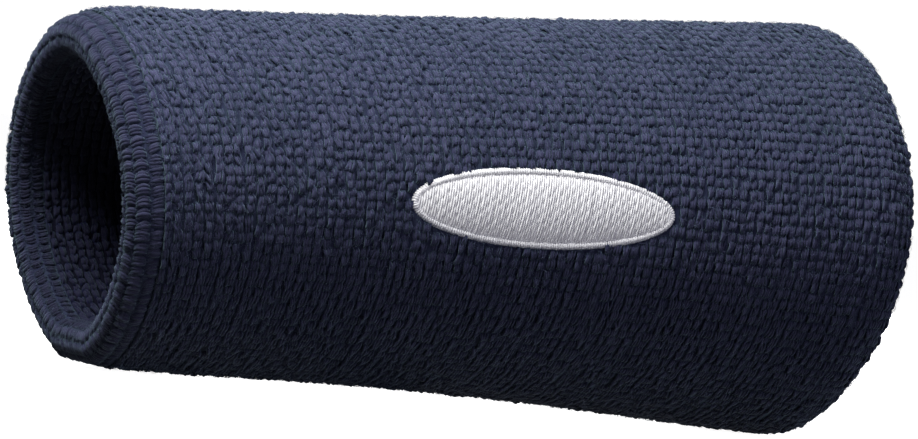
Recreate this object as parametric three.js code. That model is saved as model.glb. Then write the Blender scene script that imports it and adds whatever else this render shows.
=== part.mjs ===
import * as THREE from 'three';
import { mergeVertices } from 'three/addons/utils/BufferGeometryUtils.js';

// A long terry sweat wristband, lying with its tube along X and its emblem facing -Y.
// Sizes are in millimetres. s runs along the tube from the wrist end, turn runs round it
// from the emblem side, and depth is measured inwards from the tips of the outer pile.

const bandLength = 127;
const wristHalfHeight = 25.5;
const flareHalfHeight = 7.3;
const flarePower = 1.6;
const wristGather = 0.8;
const forearmGather = 0.5;
const gatherReach = 5;
const wristDepthRatio = 0.923;
const forearmDepthRatio = 0.905;
const edgePinch = 0.15;
const underArch = 7.7;
const restFlat = 1;
const wristLean = -0.163;
const forearmLean = 0.024;

const wallThickness = 6.4;
const terryThickness = 2.3;
const gap = 0.3;
const mid = wallThickness / 2;

const weltOuterRadius = 2.25;
const weltInnerRadius = 1.2;
const weltLeg = 0.7;
const hemElasticRadius = 0.8;
const ropeHeight = 0.7;
const terryStart = mid + weltLeg + gap;
const turnLength = 7.5;
const turnInnerLength = 4.5;
const turnCore = 0.75;
const turnElasticRadius = 0.5;

const elasticPitch = 11;
const elasticRadius = 0.3;
const elasticDepth = 3.45;

const emblemLength = 42;
const emblemHeight = 11.5;
const emblemRise = 1.5;
const emblemThickness = 0.7;
const backingMargin = 3;
const backingDepth = 2.57;
const backingThickness = 0.28;

const roundSteps = 48;
const alongSteps = 12;

function halfHeight(s) {
  const flare = flareHalfHeight * Math.pow(Math.max(s, 0) / bandLength, flarePower);
  const wristPull = wristGather * Math.exp(-Math.pow(s / gatherReach, 2));
  const forearmPull = forearmGather * Math.exp(-Math.pow((bandLength - s) / gatherReach, 2));
  return wristHalfHeight + flare - wristPull - forearmPull;
}

function depthRatio(s) {
  return THREE.MathUtils.lerp(wristDepthRatio, forearmDepthRatio, s / bandLength);
}

// The tube's cross-section is an oval, pinched a little at its top and bottom edges.
function bandPoint(s, turn, depth) {
  const t = s / bandLength;
  const half = halfHeight(s);
  const pinch = 1 - edgePinch * Math.sin(turn) ** 2;
  const y = -(half * depthRatio(s) - depth) * Math.cos(turn) * pinch;
  const rise = (half - depth) * Math.sin(turn);
  const lean = wristLean * (1 - t) ** 2 + forearmLean * t ** 2;
  const centreHeight = half + underArch * t * (1 - t) - restFlat;
  const z = Math.max(centreHeight + rise, depth);
  return new THREE.Vector3(s - bandLength / 2 + lean * rise, y, z);
}

function solid(positions, faces) {
  const geometry = new THREE.BufferGeometry();
  geometry.setAttribute('position', new THREE.Float32BufferAttribute(positions, 3));
  geometry.setIndex(faces);
  const merged = mergeVertices(geometry, 1e-4);
  if (signedVolume(merged) < 0) {
    const index = merged.getIndex();
    for (let i = 0; i < index.count; i += 3) {
      const first = index.getX(i);
      index.setX(i, index.getX(i + 1));
      index.setX(i + 1, first);
    }
  }
  merged.computeVertexNormals();
  return merged;
}

function signedVolume(geometry) {
  const position = geometry.getAttribute('position');
  const index = geometry.getIndex();
  const [a, b, c] = [new THREE.Vector3(), new THREE.Vector3(), new THREE.Vector3()];
  let total = 0;
  for (let i = 0; i < index.count; i += 3) {
    a.fromBufferAttribute(position, index.getX(i));
    b.fromBufferAttribute(position, index.getX(i + 1));
    c.fromBufferAttribute(position, index.getX(i + 2));
    total += a.dot(b.cross(c)) / 6;
  }
  return total;
}

// A closed outline of [s, depth] points, carried once round the tube.
function ring(outline) {
  const positions = [];
  const faces = [];
  const count = outline.length;
  for (let i = 0; i < roundSteps; i++) {
    const turn = (2 * Math.PI * i) / roundSteps - Math.PI / 2;
    for (const [s, depth] of outline) {
      positions.push(...bandPoint(s, turn, depth));
    }
  }
  for (let i = 0; i < roundSteps; i++) {
    const next = (i + 1) % roundSteps;
    for (let j = 0; j < count; j++) {
      const after = (j + 1) % count;
      const corners = [i * count + j, next * count + j, next * count + after, i * count + after];
      faces.push(corners[0], corners[1], corners[2], corners[0], corners[2], corners[3]);
    }
  }
  return solid(positions, faces);
}

// Points on a part of an ellipse in the [s, depth] plane. At 0 degrees it points at the
// outer face and at 90 degrees it points out of the tube's end.
function bend(centreS, alongRadius, depthRadius, fromDegrees, toDegrees, steps) {
  const points = [];
  for (let i = 0; i <= steps; i++) {
    const angle = THREE.MathUtils.degToRad(THREE.MathUtils.lerp(fromDegrees, toDegrees, i / steps));
    points.push([centreS + alongRadius * Math.sin(angle), mid - depthRadius * Math.cos(angle)]);
  }
  return points;
}

function layer(outerDepth, innerDepth, start, end) {
  const outer = [];
  const inner = [];
  for (let i = 0; i <= alongSteps; i++) {
    const s = THREE.MathUtils.lerp(start, end, i / alongSteps);
    outer.push([s, outerDepth]);
    inner.unshift([s, innerDepth]);
  }
  return ring([...outer, ...inner]);
}

// The knitted fold that closes the wrist end, open towards the forearm.
function wristWelt() {
  const legEnd = mid + weltLeg;
  return ring([
    [legEnd, mid - weltOuterRadius],
    ...bend(mid, -weltOuterRadius, weltOuterRadius, 0, 180, 8),
    [legEnd, mid + weltOuterRadius],
    [legEnd, mid + weltInnerRadius],
    ...bend(mid, -weltInnerRadius, weltInnerRadius, 180, 0, 6),
    [legEnd, mid - weltInnerRadius],
  ]);
}

// One row of cord stitches lying round the front of the welt.
function ropeRow(fromDegrees, toDegrees) {
  const inside = weltOuterRadius + gap - 0.05;
  const outside = inside + ropeHeight;
  return ring([
    ...bend(mid, -outside, outside, fromDegrees, toDegrees, 3),
    ...bend(mid, -inside, inside, toDegrees, fromDegrees, 2),
  ]);
}

// The pile fabric where it turns from the outside to the lining at the forearm end.
function forearmTurn() {
  const outerStart = bandLength - turnLength;
  const innerStart = bandLength - turnInnerLength;
  const core = mid - terryThickness;
  const seam = outerStart - 1;
  return ring([
    [seam, 0],
    ...bend(outerStart, turnLength, mid, 0, 90, 6),
    ...bend(innerStart, turnInnerLength, mid, 105, 180, 4),
    [seam, wallThickness],
    [seam, wallThickness - terryThickness],
    ...bend(innerStart - 1, turnInnerLength - terryThickness, core, 180, 0, 6),
    [seam, terryThickness],
  ]);
}

function cordRing(centreS, radius) {
  return ring(bend(centreS, radius, radius, 0, 300, 5));
}

// The covered elastic yarn, laid round and round between the two fabrics.
function laidInElastic(start, end) {
  const sides = 5;
  const perTurn = 36;
  const steps = Math.round(((end - start) / elasticPitch) * perTurn);
  const positions = [];
  const faces = [];
  for (let i = 0; i <= steps; i++) {
    const s = THREE.MathUtils.lerp(start, end, i / steps);
    const turn = (2 * Math.PI * i) / perTurn;
    for (let j = 0; j < sides; j++) {
      const angle = (2 * Math.PI * j) / sides;
      const along = s + elasticRadius * Math.cos(angle);
      positions.push(...bandPoint(along, turn, elasticDepth + elasticRadius * Math.sin(angle)));
    }
  }
  for (let i = 0; i < steps; i++) {
    for (let j = 0; j < sides; j++) {
      const after = (j + 1) % sides;
      const corners = [i * sides + j, (i + 1) * sides + j, (i + 1) * sides + after, i * sides + after];
      faces.push(corners[0], corners[1], corners[2], corners[0], corners[2], corners[3]);
    }
  }
  const last = steps * sides;
  for (let j = 1; j < sides - 1; j++) {
    faces.push(0, j, j + 1, last, last + j + 1, last + j);
  }
  return solid(positions, faces);
}

// An oval plate that follows the front of the band.
function ovalPlate(length, height, outerDepth, thickness) {
  const rounds = 4;
  const spokes = 40;
  const positions = [];
  const faces = [];
  const place = (radius, angle, depth) => {
    const s = bandLength / 2 + (length / 2) * radius * Math.cos(angle);
    const rise = emblemRise + (height / 2) * radius * Math.sin(angle);
    positions.push(...bandPoint(s, Math.asin(rise / halfHeight(s)), depth));
  };
  for (const depth of [outerDepth, outerDepth + thickness]) {
    place(0, 0, depth);
    for (let i = 1; i <= rounds; i++) {
      for (let j = 0; j < spokes; j++) {
        place(i / rounds, (2 * Math.PI * j) / spokes, depth);
      }
    }
  }
  const perFace = 1 + rounds * spokes;
  const at = (face, round, spoke) => face * perFace + 1 + (round - 1) * spokes + (spoke % spokes);
  for (let j = 0; j < spokes; j++) {
    faces.push(0, at(0, 1, j + 1), at(0, 1, j));
    faces.push(perFace, at(1, 1, j), at(1, 1, j + 1));
    for (let i = 1; i < rounds; i++) {
      faces.push(at(0, i, j), at(0, i, j + 1), at(0, i + 1, j + 1));
      faces.push(at(0, i, j), at(0, i + 1, j + 1), at(0, i + 1, j));
      faces.push(at(1, i, j), at(1, i + 1, j + 1), at(1, i, j + 1));
      faces.push(at(1, i, j), at(1, i + 1, j), at(1, i + 1, j + 1));
    }
    const rim = [at(0, rounds, j), at(0, rounds, j + 1), at(1, rounds, j + 1), at(1, rounds, j)];
    faces.push(rim[0], rim[1], rim[2], rim[0], rim[2], rim[3]);
  }
  return solid(positions, faces);
}

const finishes = {
  pile: { color: '#2b3148', roughness: 0.95, metalness: 0 },
  lining: { color: '#232739', roughness: 0.95, metalness: 0 },
  welt: { color: '#272c41', roughness: 0.9, metalness: 0 },
  rope: { color: '#313750', roughness: 0.85, metalness: 0 },
  elastic: { color: '#1c1e27', roughness: 0.7, metalness: 0 },
  silverThread: { color: '#b9bcc4', roughness: 0.45, metalness: 0 },
  backing: { color: '#d4d4d0', roughness: 0.9, metalness: 0 },
};

const layerEnd = bandLength - turnLength - 1 - gap;
const innerFace = wallThickness - terryThickness;

const pieces = [
  ['outer_terry_layer', 'pile', layer(0, terryThickness, terryStart, layerEnd)],
  ['inner_terry_lining', 'lining', layer(innerFace, wallThickness, terryStart, layerEnd)],
  ['wrist_welt', 'welt', wristWelt()],
  ['welt_rope_row_outer', 'rope', ropeRow(18, 58)],
  ['welt_rope_row_front', 'rope', ropeRow(68, 112)],
  ['welt_rope_row_inner', 'rope', ropeRow(122, 162)],
  ['forearm_turned_edge', 'pile', forearmTurn()],
  ['wrist_hem_elastic', 'elastic', cordRing(mid, hemElasticRadius)],
  ['forearm_hem_elastic', 'elastic', cordRing(bandLength - turnLength, turnElasticRadius)],
  ['laid_in_elastic', 'elastic', laidInElastic(terryStart + 3, layerEnd - 3)],
  ['emblem_embroidery', 'silverThread', ovalPlate(emblemLength, emblemHeight, -gap - emblemThickness,
    emblemThickness)],
  ['emblem_backing', 'backing', ovalPlate(emblemLength + backingMargin, emblemHeight + backingMargin,
    backingDepth, backingThickness)],
];

const band = new THREE.Group();
band.name = 'sweat_wristband';
for (const [name, finish, geometry] of pieces) {
  const mesh = new THREE.Mesh(geometry, new THREE.MeshStandardMaterial(finishes[finish]));
  mesh.name = name;
  band.add(mesh);
}

// The leaning wrist end makes the top longer, so the band is centred over its origin.
const box = new THREE.Box3().setFromObject(band);
for (const mesh of band.children) {
  mesh.geometry.translate(-(box.min.x + box.max.x) / 2, 0, 0);
}

export default band;
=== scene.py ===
import math

import bpy
import numpy as np
from mathutils import Matrix, Vector


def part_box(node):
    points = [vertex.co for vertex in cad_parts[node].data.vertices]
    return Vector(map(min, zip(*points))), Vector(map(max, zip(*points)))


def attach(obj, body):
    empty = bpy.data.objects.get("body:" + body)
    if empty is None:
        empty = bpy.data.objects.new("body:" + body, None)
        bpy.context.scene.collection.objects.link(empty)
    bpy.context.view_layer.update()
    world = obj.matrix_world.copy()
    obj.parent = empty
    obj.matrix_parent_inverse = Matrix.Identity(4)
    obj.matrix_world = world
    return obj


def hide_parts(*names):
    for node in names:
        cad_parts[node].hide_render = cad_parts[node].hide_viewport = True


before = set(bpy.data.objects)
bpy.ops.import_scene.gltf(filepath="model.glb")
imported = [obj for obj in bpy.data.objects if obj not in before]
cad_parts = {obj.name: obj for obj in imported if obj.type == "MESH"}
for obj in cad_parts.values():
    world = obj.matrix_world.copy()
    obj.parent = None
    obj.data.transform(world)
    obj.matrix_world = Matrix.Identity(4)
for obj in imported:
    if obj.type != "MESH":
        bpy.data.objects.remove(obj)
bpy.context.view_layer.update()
mm = 0.001
print("frame loaded:", len(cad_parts), "nodes")

# the band's form

# sizes in mm; s runs along the tube from the wrist end, turn round it from the emblem side
band = {
    "length": 127,
    "wristHalf": 25.5,
    "flare": 7.3,
    "flarePower": 1.6,
    "wristGather": 0.8,
    "forearmGather": 0.5,
    "gatherReach": 5,
    "wristRatio": 0.923,
    "forearmRatio": 0.905,
    "pinch": 0.15,
    "arch": 7.7,
    "flat": 1,
    "wristLean": -0.163,
    "forearmLean": 0.024,
    "wall": 6.4,
    "shift": 0,  # set below, so that the band lies on its CAD solids
    "turnLength": 7.5,
    "turnInner": 4.5,
    "terryStart": 4.9,
    "edgePath": 15.5,  # the pile path's stretch round the forearm edge
}
wallMid = band["wall"] / 2


def halfHeight(s):
    t = np.clip(s, 0, None) / band["length"]
    flare = band["flare"] * t ** band["flarePower"]
    wristPull = band["wristGather"] * np.exp(-((s / band["gatherReach"]) ** 2))
    fromEnd = (band["length"] - s) / band["gatherReach"]
    return band["wristHalf"] + flare - wristPull - band["forearmGather"] * np.exp(-(fromEnd**2))


def bandPoint(s, turn, depth):
    t = s / band["length"]
    half = halfHeight(s)
    ratio = band["wristRatio"] + (band["forearmRatio"] - band["wristRatio"]) * t
    y = -(half * ratio - depth) * np.cos(turn) * (1 - band["pinch"] * np.sin(turn) ** 2)
    rise = (half - depth) * np.sin(turn)
    lean = band["wristLean"] * (1 - t) ** 2 + band["forearmLean"] * t**2
    centre = half + band["arch"] * t * (1 - t) - band["flat"]
    z = np.maximum(centre + rise, np.maximum(depth, 0))
    x = s - band["length"] / 2 + lean * rise + band["shift"]
    return np.stack(np.broadcast_arrays(x, y, z), -1)


allTurns = np.linspace(0, 2 * np.pi, 721)
edgeEnd = bandPoint(np.float64(band["length"]), allTurns, wallMid)[:, 0].max()
band["shift"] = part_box("forearm_turned_edge")[1][0] / mm - edgeEnd

stations = np.linspace(0, band["length"], 41)
turnTable = np.zeros((len(stations), len(allTurns)))
girths = np.zeros(len(stations))
for row, station in enumerate(stations):
    steps = np.linalg.norm(np.diff(bandPoint(station, allTurns, 0), axis=0), axis=1)
    arc = np.concatenate([[0], np.cumsum(steps)])
    girths[row] = arc[-1]
    turnTable[row] = np.interp(np.linspace(0, 1, len(allTurns)), arc / arc[-1], allTurns)


def turnAt(s, share):
    # share is the part of the girth, from the emblem side upwards, so stitches are evenly spaced
    whole = np.floor(share)
    row = np.clip(s / band["length"], 0, 1) * (len(stations) - 1)
    low = np.minimum(row.astype(int), len(stations) - 2)
    column = (share - whole) * (len(allTurns) - 1)
    left = np.minimum(column.astype(int), len(allTurns) - 2)
    p, q = row - low, column - left
    near = turnTable[low, left] * (1 - q) + turnTable[low, left + 1] * q
    far = turnTable[low + 1, left] * (1 - q) + turnTable[low + 1, left + 1] * q
    return near * (1 - p) + far * p + whole * 2 * np.pi


pathStep = 0.1
bendPoints = 40


def tracePath(points):
    # a line of (s, depth) points along the cloth, and the direction out of its face at each
    points = np.array(points, float)
    steps = np.linalg.norm(np.diff(points, axis=0), axis=1)
    u = np.concatenate([[0], np.cumsum(steps)])
    fine = np.linspace(0, u[-1], int(u[-1] / pathStep))
    s, depth = np.interp(fine, u, points[:, 0]), np.interp(fine, u, points[:, 1])
    slopeS, slopeDepth = np.gradient(s), np.gradient(depth)
    size = np.hypot(slopeS, slopeDepth)
    return {"u": fine, "s": s, "depth": depth, "outS": slopeDepth / size, "outDepth": -slopeS / size}


def bend(centreS, along, across, fromDegrees, toDegrees):
    angles = np.radians(np.linspace(fromDegrees, toDegrees, bendPoints))
    return [[centreS + along * math.sin(x), wallMid - across * math.cos(x)] for x in angles]


def place(path, u, share, a, b, h):
    # a round the band, b along the path and h out of the cloth, in mm from a stitch's own place
    at = u + b
    s, depth = np.interp(at, path["u"], path["s"]), np.interp(at, path["u"], path["depth"])
    outS, outDepth = np.interp(at, path["u"], path["outS"]), np.interp(at, path["u"], path["outDepth"])
    girth = np.interp(s, stations, girths)
    return bandPoint(s + outS * h, turnAt(s, share + a / girth), depth + outDepth * h) * mm


turnStart = band["length"] - band["turnLength"]
# the second bend starts 2 degrees on, so that no point comes twice
pilePath = tracePath(
    [[band["terryStart"], 0]]
    + bend(turnStart, band["turnLength"], wallMid, 0, 90)
    + bend(band["length"] - band["turnInner"], band["turnInner"], wallMid, 92, 180)
    + [[band["terryStart"], band["wall"]]]
)
outerEnd = turnStart - band["terryStart"]
liningStart = outerEnd + band["edgePath"]
rim = {"radius": 2.45, "leg": 1.8}
weltPath = tracePath(
    [[wallMid + rim["leg"], wallMid + rim["radius"]]]
    + bend(wallMid, -rim["radius"], rim["radius"], 180, 0)
    + [[wallMid + rim["leg"], wallMid - rim["radius"]]]
)
rimMiddle = weltPath["u"][-1] / 2


# meshes

def makeMesh(name, points, quads, uv, tone=None, rise=None):
    mesh = bpy.data.meshes.new(name)
    mesh.vertices.add(len(points))
    mesh.vertices.foreach_set("co", np.ascontiguousarray(points, np.float32).ravel())
    mesh.loops.add(quads.size)
    mesh.loops.foreach_set("vertex_index", quads.astype(np.int32).ravel())
    mesh.polygons.add(len(quads))
    mesh.polygons.foreach_set("loop_start", np.arange(0, quads.size, 4, dtype=np.int32))
    mesh.polygons.foreach_set("use_smooth", np.ones(len(quads), bool))
    mesh.update(calc_edges=True)
    layer = mesh.uv_layers.new(name="OFBake")
    layer.data.foreach_set("uv", uv.astype(np.float32).ravel())
    for label, values in (("tone", tone), ("rise", rise)):
        if values is not None:
            attribute = mesh.attributes.new(label, "FLOAT", "POINT")
            attribute.data.foreach_set("value", values.astype(np.float32).ravel())
    piece = bpy.data.objects.new(name, mesh)
    bpy.context.collection.objects.link(piece)
    return piece


def tubes(name, path, u, share, line, radius, side, sides, tone, rise):
    # line is (tube, point, abh): the middle of each yarn; side is the yarn's sideways direction
    count, points = line.shape[:2]
    along = np.gradient(line, axis=1)
    along /= np.linalg.norm(along, axis=2, keepdims=True) + 1e-9
    across = np.broadcast_to(side[:, None, :], line.shape)
    up = np.cross(along, across)
    up /= np.linalg.norm(up, axis=2, keepdims=True) + 1e-9
    angles = np.linspace(0, 2 * np.pi, sides, endpoint=False)
    wide = across[:, :, None, :] * np.cos(angles)[None, None, :, None]
    high = up[:, :, None, :] * np.sin(angles)[None, None, :, None]
    skin = line[:, :, None, :] + radius[:, :, None, None] * (wide + high)
    spots = place(path, u[:, None, None], share[:, None, None], skin[..., 0], skin[..., 1], skin[..., 2])
    one = np.arange(count)[:, None, None]
    ring = np.arange(points - 1)[None, :, None]
    corner = np.arange(sides)
    after = (corner + 1) % sides
    base = one * points * sides
    quads = np.stack(
        [
            base + ring * sides + corner,
            base + ring * sides + after,
            base + (ring + 1) * sides + after,
            base + (ring + 1) * sides + corner,
        ],
        -1,
    ).reshape(-1, 4)
    # each yarn has its own cell of the map, unrolled, with a margin round it
    cells = math.ceil(math.sqrt(count))
    used = 0.9 / cells
    left, low = (one % cells) / cells, (one // cells) / cells
    stepX, stepY = used / (points - 1), used / sides
    x0, y0 = left + ring * stepX, low + corner * stepY
    shape = np.broadcast(x0, y0).shape
    x0, y0 = np.broadcast_to(x0, shape), np.broadcast_to(y0, shape)
    uv = np.stack([x0, y0, x0, y0 + stepY, x0 + stepX, y0 + stepY, x0 + stepX, y0], -1).reshape(-1, 2)
    toneEach = np.repeat(tone, points * sides)
    riseEach = np.repeat(rise.ravel(), sides)
    return makeMesh(name, spots.reshape(-1, 3), quads, uv, toneEach, riseEach)


def clothGrid(name, path, look, start, end, stepsAlong, courses):
    # a knitted sheet round the band, from one place on the path to another
    stepsRound = look["stepsRound"]
    u = np.linspace(start, end, stepsAlong)[:, None]
    share = np.linspace(0, 1, stepsRound, endpoint=False)[None, :]
    along = (u - start) / (end - start)
    knit = np.sin(2 * np.pi * share * look["wales"]) * np.cos(2 * np.pi * along * courses)
    spots = place(path, u, share, 0, 0, -look["depth"] + look["ripple"] * knit)
    i, j = np.arange(stepsAlong - 1)[:, None], np.arange(stepsRound)[None, :]
    after = (j + 1) % stepsRound
    row, nextRow = i * stepsRound, (i + 1) * stepsRound
    quads = np.stack([row + j, nextRow + j, nextRow + after, row + after], -1).reshape(-1, 4)
    x0, y0 = np.broadcast_arrays(i / stepsAlong, j / stepsRound)
    dx, dy = 1 / stepsAlong, 1 / stepsRound
    uv = np.stack([x0, y0, x0 + dx, y0, x0 + dx, y0 + dy, x0, y0 + dy], -1).reshape(-1, 2)
    return makeMesh(name, spots.reshape(-1, 3), quads, uv)


# materials

class Wire:
    # one socket of a material, so that shader maths reads like ordinary sums

    def __init__(self, shader, socket):
        self.shader = shader
        self.socket = socket

    def join(self, operation, first, second):
        wires = [x for x in (first, second) if isinstance(x, Wire)]
        if any(x.socket.type in ("VECTOR", "RGBA") for x in wires):
            return self.shader.node("ShaderNodeVectorMath", {"operation": operation}, {0: first, 1: second})
        return self.shader.node("ShaderNodeMath", {"operation": operation}, {0: first, 1: second})

    def __add__(self, other):
        return self.join("ADD", self, other)

    def __radd__(self, other):
        return self.join("ADD", other, self)

    def __sub__(self, other):
        return self.join("SUBTRACT", self, other)

    def __rsub__(self, other):
        return self.join("SUBTRACT", other, self)

    def __mul__(self, other):
        return self.join("MULTIPLY", self, other)

    def __rmul__(self, other):
        return self.join("MULTIPLY", other, self)


class Shader:
    # one material, made node by node

    def __init__(self, name, viewColour):
        self.material = bpy.data.materials.new(name)
        self.material.use_nodes = True
        self.material.diffuse_color = (*viewColour, 1)
        self.tree = self.material.node_tree
        self.tree.nodes.clear()

    def node(self, kind, settings, inputs, output=0):
        made = self.tree.nodes.new(kind)
        for key, value in settings.items():
            setattr(made, key, value)
        for key, value in inputs.items():
            socket = made.inputs[key]
            if isinstance(value, Wire):
                self.tree.links.new(value.socket, socket)
            elif socket.type == "VECTOR" and not hasattr(value, "__len__"):
                socket.default_value = (value, value, value)
            else:
                socket.default_value = value
        return Wire(self, made.outputs[output])

    def mix(self, share, first, second):
        settings = {"data_type": "RGBA"}
        return self.node("ShaderNodeMix", settings, {0: share, 6: first, 7: second}, 2)

    def ramp(self, value, low, high):
        inputs = {0: value, 1: low, 2: high}
        return self.node("ShaderNodeMapRange", {"interpolation_type": "SMOOTHSTEP"}, inputs)

    def attribute(self, name):
        return self.node("ShaderNodeAttribute", {"attribute_name": name}, {}, 2)

    def place(self):
        # the place on the object, as a texture's vector
        return self.node("ShaderNodeTexCoord", {}, {}, 3)

    def noise(self, scale, detail):
        return self.node("ShaderNodeTexNoise", {}, {"Vector": self.place(), "Scale": scale, "Detail": detail})

    def finish(self, base, constants, roughness, bump=None):
        inputs = {"Base Color": base, "Roughness": roughness, **constants}
        if bump is not None:
            inputs["Normal"] = bump
        shaded = self.node("ShaderNodeBsdfPrincipled", {}, inputs)
        output = self.tree.nodes.new("ShaderNodeOutputMaterial")
        self.tree.links.new(shaded.socket, output.inputs["Surface"])
        return self.material

    def bump(self, height, strength, distance):
        inputs = {"Strength": strength, "Distance": distance, "Height": height}
        return self.node("ShaderNodeBump", {}, inputs)


def colour(r, g, b):
    return (r, g, b, 1)


def cottonShine(look):
    # the same all over a cotton finish
    return {
        "Specular IOR Level": look["specular"],
        "Sheen Weight": look["sheen"],
        "Sheen Roughness": look["sheenSoft"],
        "Sheen Tint": look["sheenTint"],
    }


def pileMaterial(name, look):
    # tone tells yarns apart, and for the outer pile it also paints the outer plies darker as painted shade;
    # rise runs from a loop's foot to its top and drives the painted shade at the foot
    shader = Shader(name, look["middle"][:3])
    tone, rise = shader.attribute("tone"), shader.attribute("rise")
    fluff = shader.noise(look["fluffScale"], 4)
    worn = shader.noise(look["patchScale"], 2)
    base = shader.mix(shader.ramp(tone, 0, 1), look["dark"], look["light"])
    base = shader.mix(shader.ramp(fluff, *look["fluffRange"]), base, look["middle"])
    base = shader.mix(shader.ramp(worn, *look["wornRange"]) * look["worn"], base, look["light"])
    # painted shade: the loops darken to the root colour below rootTop, for the shade deep in the pile
    base = shader.mix((1 - shader.ramp(rise, look["rootTop"], 1)) * look["rootShade"], base, look["root"])
    fibres = shader.noise(look["fibreScale"], 5)
    roughness = look["rough"] + look["roughVary"] * fluff
    bump = shader.bump(fibres + fluff * look["bumpFluff"], look["bump"], look["bumpDepth"])
    return shader.finish(base, cottonShine(look), roughness, bump)


pileLook = {
    "dark": colour(0.0195, 0.018, 0.052),
    "middle": colour(0.04, 0.0365, 0.091),
    "light": colour(0.07, 0.0645, 0.134),
    # root is the painted shade colour at the loops' feet, and rootShade is how strongly it is painted
    "root": colour(0.006, 0.0065, 0.028),
    "rootShade": 0.9,
    "rootTop": 0.72,
    "worn": 0.35,
    "wornRange": (0.45, 0.75),
    "patchScale": 90,
    "fluffScale": 1900,
    "fluffRange": (0.3, 0.75),
    "fibreScale": 7000,
    "rough": 0.8,
    "roughVary": 0.18,
    "bump": 0.7,
    "bumpFluff": 0.6,
    "bumpDepth": 0.00016,
    "specular": 0.06,
    "sheen": 0.36,
    "sheenSoft": 0.55,
    "sheenTint": colour(0.49, 0.79, 0.83),
}
# painted shade: the lining is the outer terry painted darker, for the shade inside the tube
liningShadedLook = {
    **pileLook,
    "dark": colour(0.011, 0.01, 0.026),
    "middle": colour(0.016, 0.015, 0.036),
    "light": colour(0.022, 0.021, 0.047),
    "sheen": 0.08,
}
cord = {"fluffScale": 1400, "fibreScale": 5200, "rootShade": 0.6}
# painted shade: the inner rope rows' cord takes the darker lining colours, for the shade inside the tube
cordShadedInsideLook = {**liningShadedLook, **cord, "sheen": 0.16}
cordLook = {
    **pileLook,
    **cord,
    "dark": colour(0.0195, 0.018, 0.045),
    "middle": colour(0.031, 0.029, 0.068),
    "light": colour(0.043, 0.041, 0.084),
    "sheen": 0.27,
}


def knitMaterial(name, look):
    shader = Shader(name, look["yarn"][:3])
    fluff = shader.noise(look["fluffScale"], 4)
    wave = {"Scale": look["rib"], "Distortion": look["ribBend"], "Detail": 2, "Vector": shader.place()}
    rib = shader.node("ShaderNodeTexWave", {"bands_direction": "X"}, wave, 1)
    base = shader.mix(shader.ramp(fluff, *look["fluffRange"]), look["deep"], look["yarn"])
    base = shader.mix(rib * look["ribShade"], look["deep"], base)
    roughness = look["rough"] + look["roughVary"] * fluff
    bump = shader.bump(rib + fluff * look["bumpFluff"], look["bump"], look["bumpDepth"])
    return shader.finish(base, cottonShine(look), roughness, bump)


groundLook = {
    "yarn": colour(0.025, 0.026, 0.065),
    "deep": colour(0.016, 0.017, 0.045),
    "fluffScale": 1700,
    "fluffRange": (0.3, 0.7),
    "rib": 210,
    "ribBend": 2.5,
    "ribShade": 0.5,
    "rough": 0.85,
    "roughVary": 0.1,
    "bump": 0.6,
    "bumpFluff": 0.5,
    "bumpDepth": 0.0002,
    "specular": 0.05,
    "sheen": 0.3,
    "sheenSoft": pileLook["sheenSoft"],
    "sheenTint": pileLook["sheenTint"],
}
# painted shade: the lining's knit is the ground painted much darker, for the shade inside the tube
liningKnitShadedLook = {
    **groundLook,
    "yarn": colour(0.009, 0.009, 0.022),
    "deep": colour(0.005, 0.005, 0.013),
    "sheen": 0.02,
}


def threadMaterial(name, look):
    shader = Shader(name, look["bright"][:3])
    tone, rise = shader.attribute("tone"), shader.attribute("rise")
    strands = shader.noise(look["strandScale"], 3)
    base = shader.mix(shader.ramp(tone, 0, 1), look["soft"], look["bright"])
    base = shader.mix(shader.ramp(strands, *look["strandRange"]) * look["strandShade"], base, look["shade"])
    base = shader.mix((1 - shader.ramp(rise, 0, look["dipTop"])) * look["dipShade"], base, look["shade"])
    constants = {"Specular IOR Level": look["specular"], "Sheen Weight": look["sheen"]}
    constants["Anisotropic"] = look["satin"]
    roughness = look["rough"] + look["roughVary"] * strands
    return shader.finish(base, constants, roughness, shader.bump(strands, look["bump"], look["bumpDepth"]))


threadLook = {
    "bright": colour(0.93, 0.93, 0.93),
    "soft": colour(0.87, 0.87, 0.87),
    "shade": colour(0.64, 0.64, 0.65),
    "strandScale": 5200,
    "strandRange": (0.45, 0.8),
    "strandShade": 0.35,
    "dipTop": 0.35,
    "dipShade": 0.6,
    "rough": 0.38,
    "roughVary": 0.2,
    "bump": 0.5,
    "bumpDepth": 0.00008,
    "specular": 0.3,
    "sheen": 0.1,
    "satin": 0.4,
}


def coveredElastic(name, look):
    shader = Shader(name, look["cover"][:3])
    wave = {"Scale": look["wraps"], "Distortion": look["wrapBend"], "Detail": 1, "Vector": shader.place()}
    wraps = shader.node("ShaderNodeTexWave", {"bands_direction": "DIAGONAL"}, wave, 1)
    fluff = shader.noise(look["fluffScale"], 3)
    base = shader.mix(wraps, look["gap"], look["cover"])
    base = shader.mix(shader.ramp(fluff, *look["fluffRange"]) * look["fluffShade"], base, look["gap"])
    constants = {"Sheen Weight": look["sheen"], "Specular IOR Level": look["specular"]}
    roughness = look["rough"] + look["roughVary"] * fluff
    return shader.finish(base, constants, roughness, shader.bump(wraps, look["bump"], look["bumpDepth"]))


elasticLook = {
    "cover": colour(0.02, 0.022, 0.035),
    "gap": colour(0.006, 0.006, 0.01),
    "wraps": 900,
    "wrapBend": 1.2,
    "fluffScale": 2500,
    "fluffRange": (0.4, 0.8),
    "fluffShade": 0.4,
    "rough": 0.55,
    "roughVary": 0.25,
    "bump": 0.8,
    "bumpDepth": 0.0002,
    "specular": 0.3,
    "sheen": 0.1,
}


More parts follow.
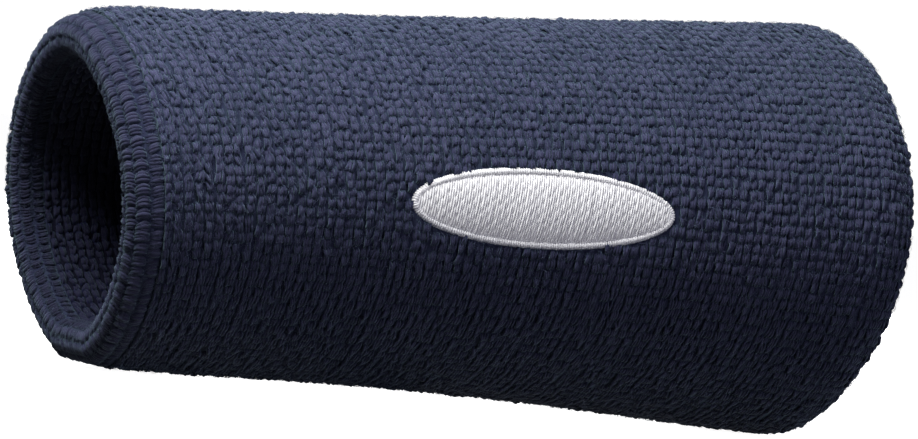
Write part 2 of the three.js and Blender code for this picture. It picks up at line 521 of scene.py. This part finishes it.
def nonwoven(name, look):
    shader = Shader(name, look["fibre"][:3])
    web = shader.noise(look["webScale"], 6)
    bonds = shader.node("ShaderNodeTexVoronoi", {"feature": "F1"}, {"Scale": look["bonds"]}, 0)
    base = shader.mix(shader.ramp(web, *look["webRange"]), look["thin"], look["fibre"])
    base = shader.mix((1 - shader.ramp(bonds, *look["bondRange"])) * look["bondShade"], base, look["thin"])
    constants = {"Specular IOR Level": look["specular"]}
    roughness = look["rough"] + look["roughVary"] * web
    bump = shader.bump(web + bonds, look["bump"], look["bumpDepth"])
    return shader.finish(base, constants, roughness, bump)


backingLook = {
    "fibre": colour(0.66, 0.66, 0.63),
    "thin": colour(0.42, 0.42, 0.41),
    "webScale": 1200,
    "webRange": (0.35, 0.65),
    "bonds": 700,
    "bondRange": (0.1, 0.3),
    "bondShade": 0.4,
    "rough": 0.85,
    "roughVary": 0.1,
    "bump": 0.6,
    "bumpDepth": 0.00012,
    "specular": 0.2,
}

terry = pileMaterial("navy_terry_pile", pileLook)
liningShadedTerry = pileMaterial("navy_lining_pile_shaded", liningShadedLook)
ground = knitMaterial("navy_ground_knit", groundLook)
groundShadedInside = knitMaterial("navy_lining_knit_shaded", liningKnitShadedLook)
cordStitch = pileMaterial("navy_cord_stitch", cordLook)
cordShadedInside = pileMaterial("navy_cord_inside_shaded", cordShadedInsideLook)
satin = threadMaterial("silver_satin_thread", threadLook)
print("materials made")


def finishPiece(piece, material, nodes=()):
    piece.data.materials.append(material)
    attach(piece, "root")
    if nodes:
        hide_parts(*nodes)
    return piece


# terry pile

emblem = {"length": 42, "height": 11.5, "rise": 1.5, "clear": 1.07}


def loopRows(look, start, end):
    # the courses between two places on the path, their spacing changing evenly from first to last
    rows = [start]
    firstPitch, lastPitch = look["pitches"]
    while rows[-1] < end:
        part = (rows[-1] - start) / (end - start)
        rows.append(rows[-1] + firstPitch + (lastPitch - firstPitch) * part)
    rows = np.array(rows)
    steps = np.diff(rows)
    rows = rows[:-1]
    wales = np.arange(look["wales"])
    u = np.repeat(rows, len(wales))
    share = np.tile((wales + 0.5) / len(wales), len(rows))
    pitch = np.repeat(steps, len(wales))
    return u, share, pitch


def pileLoops(name, path, look, u, share, pitch, rng):
    count = len(u)
    s = np.interp(u, path["u"], path["s"])
    girth = np.interp(s, stations, girths)
    loose = 1 - look["order"] * np.clip(s / band["length"], 0, 1)
    share = share + rng.normal(0, look["shareJitter"], count) * loose / look["wales"]
    u = u + rng.normal(0, look["rowJitter"], count) * pitch
    span = look["span"] - look["spanDrop"] * np.clip(s / band["length"], 0, 1)
    width = girth / look["wales"] * span * rng.normal(1, look["widthJitter"], count)
    twist = rng.normal(0, look["twistJitter"], count) * loose
    flop = rng.normal(0, look["flopJitter"], count)
    crown = rng.normal(0, look["heightJitter"], count)
    shade = rng.random(count)
    start = rng.uniform(-look["startJitter"], look["startJitter"], count)
    # each loop is a few soft strands laid round one another
    plies = look["plies"]
    loops = (share, u, pitch, width, twist, flop, crown, shade, start)
    share, u, pitch, width, twist, flop, crown, shade, start = (np.repeat(x, plies)[:, None] for x in loops)
    ply = np.tile(np.arange(plies) - (plies - 1) / 2, count)[:, None]
    total = count * plies
    own = rng.normal(0, 1, (4, total, 1))
    theta = np.linspace(0, np.pi, look["rings"])[None, :]
    twist = twist + own[0] * look["plyStray"]
    up = np.sin(theta) ** look["flatTop"]
    along = -np.cos(theta) * width / 2 * (1 + look["reachStray"] * own[1])
    thick = np.clip(1 + look["thickStray"] * own[2], *look["thickRange"])
    radius = look["yarn"] * pitch * (look["foot"] + (1 - look["foot"]) * up) * thick
    wind = start + (theta / np.pi - 0.5) * 2 * np.pi * look["plyTurns"]
    sideways = ply * look["spread"] * pitch * np.cos(wind) + own[3] * look["sideStray"] * up
    lift = ply * look["spread"] * pitch * np.sin(wind)
    a = along * np.cos(twist) + flop * look["flopAcross"] * up - sideways * np.sin(twist)
    b = along * np.sin(twist) + flop * up + sideways * np.cos(twist)
    h = -look["height"] + (look["height"] - radius + crown + lift - look["sink"]) * up
    line = np.stack([a, b, h], -1)
    side = np.stack([-np.sin(twist), np.cos(twist), np.zeros_like(twist)], -1)[:, 0]
    # a loop's random tone, a strand's random tone, and painted shade that makes the outer plies darker than
    # the middle one
    ofLoop, ofStrand, ofPlyShade = look["toneShares"]
    tone = ofLoop * shade[:, 0] + ofStrand * rng.random(total) + ofPlyShade * (1 - np.abs(ply[:, 0]))
    rise = np.broadcast_to(up, radius.shape)
    return tubes(name, path, u[:, 0], share[:, 0], line, radius, side, look["sides"], tone, rise)


def strayFibres(name, path, look, u, share, rng):
    # single cotton fibres lying over the loops, which soften every edge
    count = len(u)
    t = np.linspace(0, 1, look["points"])[None, :]
    heading = rng.uniform(0, 2 * np.pi, count)[:, None]
    length = rng.normal(look["length"], look["lengthJitter"], count)
    length = np.clip(length, look["shortest"], None)[:, None]
    curl = rng.normal(0, look["curl"], count)[:, None] * np.sin(np.pi * t)
    a = length * (t - 0.5) * np.cos(heading) - curl * np.sin(heading)
    b = length * (t - 0.5) * np.sin(heading) + curl * np.cos(heading)
    bottom = rng.uniform(*look["depths"], count)[:, None]
    h = bottom + rng.uniform(*look["lifts"], count)[:, None] * np.sin(np.pi * t) ** 0.8
    line = np.stack([a, b, h], -1)
    radius = look["thickness"] * (1 - look["taper"] * np.abs(2 * t - 1)) * np.ones((count, 1))
    side = np.concatenate([-np.sin(heading), np.cos(heading), np.zeros((count, 1))], 1)
    tone, rise = rng.random(count), np.ones(radius.shape)
    return tubes(name, path, u, share, line, radius, side, look["sides"], tone, rise)


fibres = {
    "points": 4,
    "sides": 3,
    "length": 0.95,
    "lengthJitter": 0.3,
    "shortest": 0.25,
    "curl": 0.16,
    "depths": (-0.45, -0.12),
    "lifts": (0.1, 0.42),
    "thickness": 0.026,
    "taper": 0.5,
    "outerCount": 40000,
    "edgeCount": 7000,
    "edgeShort": 2,
    "pieces": 5,
}
outerPile = {
    "wales": 112,
    "span": 1.34,  # a loop's width in wales at the wrist end, less spanDrop at the forearm end
    "spanDrop": 0.2,
    "widthJitter": 0.1,
    "order": 0.4,  # how much straighter the loops lie at the forearm end
    "plies": 3,
    "yarn": 0.155,  # a strand's radius for a course of 1 mm, and foot is its share of that at the bottom
    "foot": 0.7,
    "thickStray": 0.12,
    "thickRange": (0.7, 1.3),
    "reachStray": 0.08,
    "spread": 0.265,
    "plyTurns": 0.2,
    "plyStray": 0.1,
    "sideStray": 0.035,
    "startJitter": 0.6,
    "sink": 0.08,  # how far a loop's top lies under the surface
    "height": 0.95,
    "heightJitter": 0.08,
    "shareJitter": 0.13,
    "rowJitter": 0.03,
    "twistJitter": 0.1,
    "flopJitter": 0.09,
    "flopAcross": 0.4,
    "flatTop": 0.62,  # under 1, the top is flatter than half a circle
    # shares of random loop tone, random strand tone and painted shade on the outer plies
    "toneShares": (0.35, 0.3, 0.35),
    "rings": 7,
    "sides": 5,
    "pitches": (1.56, 1.38),  # course spacing at the first and last course
    "firstRow": 0.25,
    "pieces": 10,
}
rng = np.random.default_rng(7)
u, share, pitch = loopRows(outerPile, outerPile["firstRow"], outerEnd)


def clearOfEmblem(u, share):
    s = np.interp(u, pilePath["u"], pilePath["s"])
    above = np.where(share > 0.5, share - 1, share) * np.interp(s, stations, girths) - emblem["rise"]
    acrossOval = (s - band["length"] / 2) / (emblem["length"] / 2)
    return acrossOval**2 + (above / (emblem["height"] / 2)) ** 2 > emblem["clear"]


partSlack = 1  # keeps the first and last rows of a layer in its first and last pieces
kept = clearOfEmblem(u, share)
for part in range(outerPile["pieces"]):
    low, high = ((outerEnd + partSlack) * x / outerPile["pieces"] for x in (part, part + 1))
    pick = kept & (u >= low) & (u < high)
    piece = pileLoops(f"outer_pile_{part + 1}", pilePath, outerPile, u[pick], share[pick], pitch[pick], rng)
    finishPiece(piece, terry)
print("outer pile:", int(kept.sum()), "loops")

for part in range(fibres["pieces"]):
    count = fibres["outerCount"] // fibres["pieces"]
    u = rng.uniform(part, part + 1, count) * outerEnd / fibres["pieces"]
    share = rng.random(count)
    kept = clearOfEmblem(u, share)
    piece = strayFibres(f"outer_fibres_{part + 1}", pilePath, fibres, u[kept], share[kept], rng)
    finishPiece(piece, terry)
u = rng.uniform(outerEnd, liningStart - fibres["edgeShort"], fibres["edgeCount"])
edgeFibres = strayFibres("edge_fibres", pilePath, fibres, u, rng.random(len(u)), rng)
finishPiece(edgeFibres, terry)

edgePile = {**outerPile, "pitches": (1.42, 1.3), "firstRow": 0.5}
edgeMiddle = (outerEnd + liningStart) / 2
u, share, pitch = loopRows(edgePile, outerEnd + edgePile["firstRow"], liningStart)
for name, pick in (("forearm_edge_outer", u < edgeMiddle), ("forearm_edge_inner", u >= edgeMiddle)):
    piece = pileLoops(name, pilePath, edgePile, u[pick], share[pick], pitch[pick], rng)
    finishPiece(piece, terry)

liningPile = {
    **outerPile,
    "wales": 92,
    "plies": 2,
    "yarn": 0.24,
    "spread": 0.3,
    "order": 0,
    "spanDrop": 0,
    "rings": 6,
    "pitches": (1.5, 1.45),
    "pieces": 4,
}
liningEnd = pilePath["u"][-1]
u, share, pitch = loopRows(liningPile, liningStart, liningEnd)
partLength = (liningEnd - liningStart + 2 * partSlack) / liningPile["pieces"]
for part in range(liningPile["pieces"]):
    low = liningStart - partSlack + partLength * part
    pick = (u >= low) & (u < low + partLength)
    name = f"lining_pile_{part + 1}"
    piece = pileLoops(name, pilePath, liningPile, u[pick], share[pick], pitch[pick], rng)
    # the lining loops take the terry painted darker, painted shade inside the tube
    finishPiece(piece, liningShadedTerry)
print("lining pile made")

# ground fabric

groundKnit = {"stepsRound": 240, "depth": 0.5, "ripple": 0.06, "wales": 51}
outerCloth = clothGrid("outer_ground_cloth", pilePath, groundKnit, 0, outerEnd, 150, courses=45)
edgeCloth = clothGrid("edge_ground_cloth", pilePath, groundKnit, outerEnd, liningStart, 40, courses=6)
liningCloth = clothGrid("lining_ground_cloth", pilePath, groundKnit, liningStart, liningEnd, 120, courses=40)
finishPiece(outerCloth, ground, ["outer_terry_layer"])
finishPiece(edgeCloth, ground, ["forearm_turned_edge"])
# the lining's ground takes the knit painted darker, painted shade inside the tube
finishPiece(liningCloth, groundShadedInside, ["inner_terry_lining"])

# wrist welt

rope = {
    "pitch": 1.72,
    "plies": 3,
    "half": 0.85,  # half a stitch's length across the rim
    "yarn": 0.37,
    "rise": 0.28,
    "arch": 0.45,  # how far its middle bows round the band
    "apart": 0.46,
    "sunk": 0.05,
    "points": 11,
    "sides": 8,
    "jitter": 0.06,
    "archJitter": 0.25,
    "slope": 0.12,
    "slopeJitter": 0.1,
    "riseJitter": 0.12,
    "strandRise": 0.05,
    "strandTilt": 0.08,
    "gather": 0.35,
    "flatness": 2.6,
    "shoulder": 0.6,
    "crown": 0.2,
    "dive": 0.3,  # how deep its ends go in
    "tipThin": 0.62,
    "toneShares": (0.6, 0.4),
}
weltKnit = {**groundKnit, "depth": -0.12, "ripple": 0.04}
weltLength = weltPath["u"][-1]
weltCloth = clothGrid("wrist_welt_cloth", weltPath, weltKnit, 0, weltLength, 60, courses=5)
finishPiece(weltCloth, ground, ["wrist_welt"])


def ropeRow(name, middle, look, nodes, rng, material=cordStitch):
    # one row of cord-like stitches round the rim, each a few plies side by side
    s = np.interp(middle, weltPath["u"], weltPath["s"])
    stitches = int(np.interp(s, stations, girths) / look["pitch"])
    plies = look["plies"]
    stitchAt = np.arange(stitches) + rng.normal(0, look["jitter"], stitches)
    share = np.repeat(stitchAt / stitches, plies)
    ply = np.tile(np.arange(plies) - (plies - 1) / 2, stitches)[:, None]
    count = len(share)
    shade = np.repeat(rng.random(stitches), plies)
    arch = np.repeat(look["arch"] * rng.normal(1, look["archJitter"], stitches), plies)[:, None]
    slope = np.repeat(rng.normal(look["slope"], look["slopeJitter"], stitches), plies)[:, None]
    rise = np.repeat(look["rise"] * rng.normal(1, look["riseJitter"], stitches), plies)[:, None]
    t = np.linspace(-1, 1, look["points"])[None, :]
    b = t * look["half"] * rng.normal(1, look["jitter"], count)[:, None]
    a = ply * look["apart"] * (1 - look["gather"] * t**2) + arch * (1 - t**2) + slope * t
    a = a + rng.normal(0, look["jitter"], count)[:, None]
    a = a + rng.normal(0, look["strandTilt"], count)[:, None] * t
    lift = np.clip(1 - np.abs(t) ** look["flatness"], 0, 1) ** look["shoulder"]
    crown = rise * (1 - look["crown"] * ply**2) + rng.normal(0, look["strandRise"], count)[:, None]
    h = -look["sunk"] + crown * lift - look["dive"] * (1 - lift)
    line = np.stack([a, np.broadcast_to(b, a.shape), h], -1)
    radius = look["yarn"] * (look["tipThin"] + (1 - look["tipThin"]) * lift)
    radius = radius * rng.normal(1, look["jitter"], count)[:, None]
    side = np.tile([1.0, 0.0, 0.0], (count, 1))
    ofStitch, ofStrand = look["toneShares"]
    tone = ofStitch * shade + ofStrand * rng.random(count)
    u = np.full(count, middle)
    lift = np.broadcast_to(lift, radius.shape)
    piece = tubes(name, weltPath, u, share, line, radius, side, look["sides"], tone, lift)
    return finishPiece(piece, material, nodes)


rows = {"front": 0.92, "next": 2.65, "hem": 4.6}
tip, inner = {**rope, "rise": 0.2}, {**rope, "rise": 0.14}
course = {**rope, "half": 0.9, "pitch": 1.5, "yarn": 0.33, "rise": 0.2, "arch": 0.15, "apart": 0.4}
ropeRow("rope_stitches_outer", rimMiddle + rows["next"], rope, ["welt_rope_row_outer"], rng)
ropeRow("rope_stitches_front", rimMiddle + rows["front"], rope, ["welt_rope_row_front"], rng)
ropeRow("rope_stitches_tip", rimMiddle - rows["front"], tip, [], rng)
# the inner row takes the cord painted darker, painted shade inside the tube
ropeRow("rope_stitches_inner", rimMiddle - rows["next"], inner, ["welt_rope_row_inner"], rng, cordShadedInside)
weltFluff = {**fibres, "depths": (0.1, 0.4), "lifts": (0.05, 0.3), "count": 6000, "gaps": (0.5, 0.3)}
firstGap, lastGap = weltFluff["gaps"]
u = rng.uniform(firstGap, weltLength - lastGap, weltFluff["count"])
weltFibres = strayFibres("welt_fibres", weltPath, weltFluff, u, rng.random(len(u)), rng)
finishPiece(weltFibres, cordStitch)
hemRow = ropeRow("hem_course_outer", rimMiddle + rows["hem"], course, [], rng)
# the inner hem course takes the cord painted darker, painted shade inside the tube
hemInner = ropeRow("hem_course_inner", rimMiddle - rows["hem"], course, [], rng, cordShadedInside)
print("wrist welt made")

# emblem

stitch = {
    "sides": 6,
    "pitch": 0.38,
    "yarn": 0.2,
    "slant": 0.16,
    "dome": 0.3,
    "sunk": 0.4,
    "points": 34,
    "length": 3.6,
    "offset": 0.38,
    "dip": 0.14,
    "dipReach": 0.28,
    "dipShadeReach": 0.2,
    "dipShade": 0.6,
    "pullIn": 0.3,
    "firstGap": 0.5,
    "lastGap": 0.4,
    "endPlunge": 0.4,
    "endPower": 8,
    "placeJitter": 0.015,
    "heightJitter": 0.02,
}
border = {
    "points": 9,
    "width": 1,
    "rise": 0.1,
    "plunge": 0.5,
    "widthJitter": 0.05,
    "inward": 0.35,
    "rootTone": 0.4,
}
under = {
    "points": 40,
    "pitch": 0.4,
    "firstGap": 0.4,
    "lastGap": 0.3,
    "yarn": 0.26,
    "sunk": 0.38,
    "short": 0.6,
    "shade": 0.3,
}
emblemMiddle = band["length"] / 2 - band["terryStart"]


def emblemThreads(name, u, line, radius, side, tone, rise):
    # threads that lie over the emblem side, where the share of the girth is 0
    return tubes(name, pilePath, u, np.zeros(len(u)), line, radius, side, stitch["sides"], tone, rise)


def ovalHalf(x, grow):
    # half the oval's height at x along it, grown all round
    span = np.clip(1 - (x / (emblem["length"] / 2 + grow)) ** 2, 0, 1)
    return (emblem["height"] / 2 + grow) * np.sqrt(span)


def fillStitches(rng):
    # split stitches: long threads that dip where the needle went in, in a brick order
    halfLength = emblem["length"] / 2
    x = np.arange(-halfLength + stitch["firstGap"], halfLength - stitch["lastGap"], stitch["pitch"])
    x = x + rng.normal(0, stitch["placeJitter"], len(x))
    half = ovalHalf(x, -stitch["pullIn"])[:, None]
    t = np.linspace(-1, 1, stitch["points"])[None, :]
    a = emblem["rise"] + half * t
    b = half * t * stitch["slant"]
    crest = 1 - np.abs(t) ** stitch["endPower"]
    dome = stitch["dome"] * (1 - t**2) * half / half.max()
    split = half * t / stitch["length"] + (np.arange(len(x)) * stitch["offset"])[:, None] % 1
    near = np.abs(split - np.round(split)) * stitch["length"]
    dip = stitch["dip"] * np.exp(-((near / stitch["dipReach"]) ** 2))
    h = -stitch["sunk"] - stitch["endPlunge"] * (1 - crest) + dome - dip
    h = h + rng.normal(0, stitch["heightJitter"], len(x))[:, None]
    line = np.stack([a, b, h], -1)
    radius = np.full(a.shape, stitch["yarn"])
    side = np.tile([0.0, 1.0, 0.0], (len(x), 1))
    rise = 1 - stitch["dipShade"] * np.exp(-((near / stitch["dipShadeReach"]) ** 2))
    tone = rng.random(len(x))
    return emblemThreads("emblem_fill", emblemMiddle + x, line, radius, side, tone, rise)


def borderStitches(rng):
    # a narrow satin column round the oval, its threads square to the edge
    fine = np.linspace(0, 2 * np.pi, 2000)
    x, y = emblem["length"] / 2 * np.cos(fine), emblem["height"] / 2 * np.sin(fine)
    arc = np.concatenate([[0], np.cumsum(np.hypot(np.diff(x), np.diff(y)))])
    count = int(arc[-1] / stitch["pitch"])
    angle = np.interp(np.arange(count) * arc[-1] / count, arc, fine)[:, None]
    x, y = emblem["length"] / 2 * np.cos(angle), emblem["height"] / 2 * np.sin(angle)
    outX, outY = np.cos(angle) / emblem["length"], np.sin(angle) / emblem["height"]
    size = np.hypot(outX, outY)
    outX, outY = outX / size, outY / size
    t = np.linspace(-1, 1, border["points"])[None, :]
    uneven = 1 + border["widthJitter"] * rng.normal(0, 1, (count, 1))
    reach = border["width"] * (t / 2 * uneven - border["inward"])
    arch = np.sqrt(np.clip(1 - t**2, 0, 1))
    h = -stitch["sunk"] - border["plunge"] + (border["plunge"] + border["rise"]) * arch
    h = h + rng.normal(0, stitch["heightJitter"], (count, 1))
    line = np.stack([emblem["rise"] + y + outY * reach, x + outX * reach, h], -1)
    radius = np.full(h.shape, stitch["yarn"])
    side = np.concatenate([outX, -outY, np.zeros((count, 1))], 1)
    rise = np.broadcast_to(border["rootTone"] + (1 - border["rootTone"]) * arch, h.shape)
    tone = rng.random(count)
    return emblemThreads("emblem_border", np.full(count, emblemMiddle), line, radius, side, tone, rise)


def underlay(rng):
    # long threads that fill the dome under the split stitches
    halfLength, halfHigh = emblem["length"] / 2, emblem["height"] / 2
    y = np.arange(-halfHigh + under["firstGap"], halfHigh - under["lastGap"], under["pitch"])
    domeY = (1 - (y / halfHigh) ** 2)[:, None]
    half = halfLength * np.sqrt(np.clip(domeY, 0, 1)) - under["short"]
    t = np.linspace(0, 1, under["points"])[None, :]
    b = -half + 2 * half * t
    a = np.broadcast_to(emblem["rise"] + y[:, None], b.shape)
    domeX = np.sqrt(np.clip(1 - (b / halfLength) ** 2, 0, 1))
    h = -stitch["sunk"] - under["sunk"] + stitch["dome"] * domeY * domeX
    line = np.stack([a, b, h], -1)
    radius = np.full(a.shape, under["yarn"])
    side = np.tile([1.0, 0.0, 0.0], (len(y), 1))
    tone = rng.random(len(y)) * under["shade"]
    u = np.full(len(y), emblemMiddle)
    return emblemThreads("emblem_underlay", u, line, radius, side, tone, np.ones(a.shape))


finishPiece(fillStitches(rng), satin, ["emblem_embroidery"])
finishPiece(borderStitches(rng), satin)
finishPiece(underlay(rng), satin)
print("emblem made")

# pieces inside the wall

elasticFinish = coveredElastic("covered_elastic", elasticLook)
backingFinish = nonwoven("nonwoven_backing", backingLook)
for name in ("wrist_hem_elastic", "forearm_hem_elastic", "laid_in_elastic", "emblem_backing"):
    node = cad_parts[name]
    node.data.materials.clear()
    node.data.materials.append(backingFinish if name == "emblem_backing" else elasticFinish)

# cloth facts

# how much shorter than the outside girth a layer is, and the path over the edge, in mm
layers = {"liningLess": 29, "edgeLess": 20, "weltLess": 20, "edgeLength": 13}
liningFlat = ((girths.mean() - layers["liningLess"]) * mm, (liningEnd - liningStart) * mm)
weltFlat = ((girths[0] - layers["weltLess"]) * mm, weltLength * mm)

# floor, light, camera

# the camera's aim, shifts and distance are in mm, and the lights' places and sizes in metres
studio = {
    "aim": (0.0, 0.0, 29.0),
    "aimRight": 0.6,
    "aimUp": -2.1,
    "distance": 600,
    "azimuth": -30.3,
    "elevation": 0.72,
    "roll": 7.65,
    "lens": 159.5,
    "sensor": 36,
    "clip": (0.01, 20),
    "keyPlace": (-0.2, -0.075, 0.33),
    "keySize": (0.2, 0.2),
    "keyPower": 2.5,
    "keyTint": (1, 1, 1),
    "fillPlace": (0.25, -0.84, 0.26),
    "fillSize": (0.12, 0.12),
    "fillPower": 1.75,
    "fillTint": (0.85, 0.83, 1),
    "backPlace": (0.5, 0.85, 0.3),
    "backSize": (0.5, 0.5),
    "backPower": 7,
    "backTint": (0.95, 0.97, 1),
    "middle": (0, 0, 0.03),
    "backdrop": 1.05,
    "ambient": 0.03,
    "ambientTint": colour(0.62, 0.6, 1),
}


def floorMaterial(look):
    shader = Shader("pale_floor", look["pale"][:3])
    grain = shader.noise(look["grainScale"], 2)
    base = shader.mix(grain, look["grain"], look["pale"])
    constants = {"Specular IOR Level": look["specular"], "Emission Color": colour(1, 1, 1)}
    constants["Emission Strength"] = look["glow"]
    return shader.finish(base, constants, look["rough"] + look["roughVary"] * grain)


# half and drop are in metres
floorLook = {
    "half": 30,
    "drop": 0.0003,
    "pale": colour(0.9, 0.9, 0.9),
    "grain": colour(0.86, 0.86, 0.86),
    "grainScale": 40,
    "rough": 0.8,
    "roughVary": 0.1,
    "specular": 0.1,
    "glow": 0.97,
}
corners = [(x * floorLook["half"], y * floorLook["half"], 0) for x, y in ((-1, -1), (1, -1), (1, 1), (-1, 1))]
floorMesh = bpy.data.meshes.new("floor")
floorMesh.from_pydata(corners, [], [(0, 1, 2, 3)])
floor = bpy.data.objects.new("floor", floorMesh)
floor.location.z = -floorLook["drop"]
floorMesh.materials.append(floorMaterial(floorLook))
bpy.context.collection.objects.link(floor)
floor.visible_diffuse = False

world = bpy.data.worlds.new("studio")
bpy.context.scene.world = world
world.use_nodes = True
worldNodes, worldLinks = world.node_tree.nodes, world.node_tree.links
worldNodes.clear()


def background(tint, strength):
    made = worldNodes.new("ShaderNodeBackground")
    made.inputs["Color"].default_value = tint
    made.inputs["Strength"].default_value = strength
    return made


# the camera sees a white backdrop, and everything else is lit by a faint bluish one
seen = background(colour(1, 1, 1), studio["backdrop"])
lit = background(studio["ambientTint"], studio["ambient"])
rays = worldNodes.new("ShaderNodeLightPath")
pickWorld = worldNodes.new("ShaderNodeMixShader")
worldOut = worldNodes.new("ShaderNodeOutputWorld")
worldLinks.new(rays.outputs["Is Camera Ray"], pickWorld.inputs[0])
worldLinks.new(lit.outputs[0], pickWorld.inputs[1])
worldLinks.new(seen.outputs[0], pickWorld.inputs[2])
worldLinks.new(pickWorld.outputs[0], worldOut.inputs["Surface"])


def softLight(name, kind):
    # a square soft light aimed at the middle of the band; kind picks its values in studio
    data = bpy.data.lights.new(name, "AREA")
    data.shape = "RECTANGLE"
    data.size, data.size_y = studio[kind + "Size"]
    data.energy = studio[kind + "Power"]
    data.color = studio[kind + "Tint"]
    light = bpy.data.objects.new(name, data)
    light.location = studio[kind + "Place"]
    aim = Vector(studio["middle"]) - Vector(studio[kind + "Place"])
    light.rotation_euler = aim.to_track_quat("-Z", "Y").to_euler()
    light.visible_camera = False
    bpy.context.collection.objects.link(light)


softLight("soft_key", "key")
softLight("fill_back", "back")
softLight("fill_front", "fill")

azimuth, elevation, roll = (math.radians(studio[x]) for x in ("azimuth", "elevation", "roll"))
back = Vector((math.sin(azimuth), -math.cos(azimuth), 0)) * math.cos(elevation)
back.z = math.sin(elevation)
level = Vector((math.cos(azimuth), math.sin(azimuth), 0))
upright = back.cross(level)
right = level * math.cos(roll) + upright * math.sin(roll)
up = upright * math.cos(roll) - level * math.sin(roll)
target = Vector(studio["aim"]) + Vector((band["shift"], 0, 0))
target += level * studio["aimRight"] + upright * studio["aimUp"]
camera = bpy.data.objects.new("camera", bpy.data.cameras.new("camera"))
turned = Matrix((right, up, back)).transposed().to_4x4()
camera.matrix_world = Matrix.Translation((target + back * studio["distance"]) * mm) @ turned
camera.data.lens = studio["lens"]
camera.data.sensor_width = studio["sensor"]
camera.data.clip_start, camera.data.clip_end = studio["clip"]
bpy.context.collection.objects.link(camera)
bpy.context.scene.camera = camera
bpy.context.scene.view_settings.view_transform = "Standard"
print("studio ready")
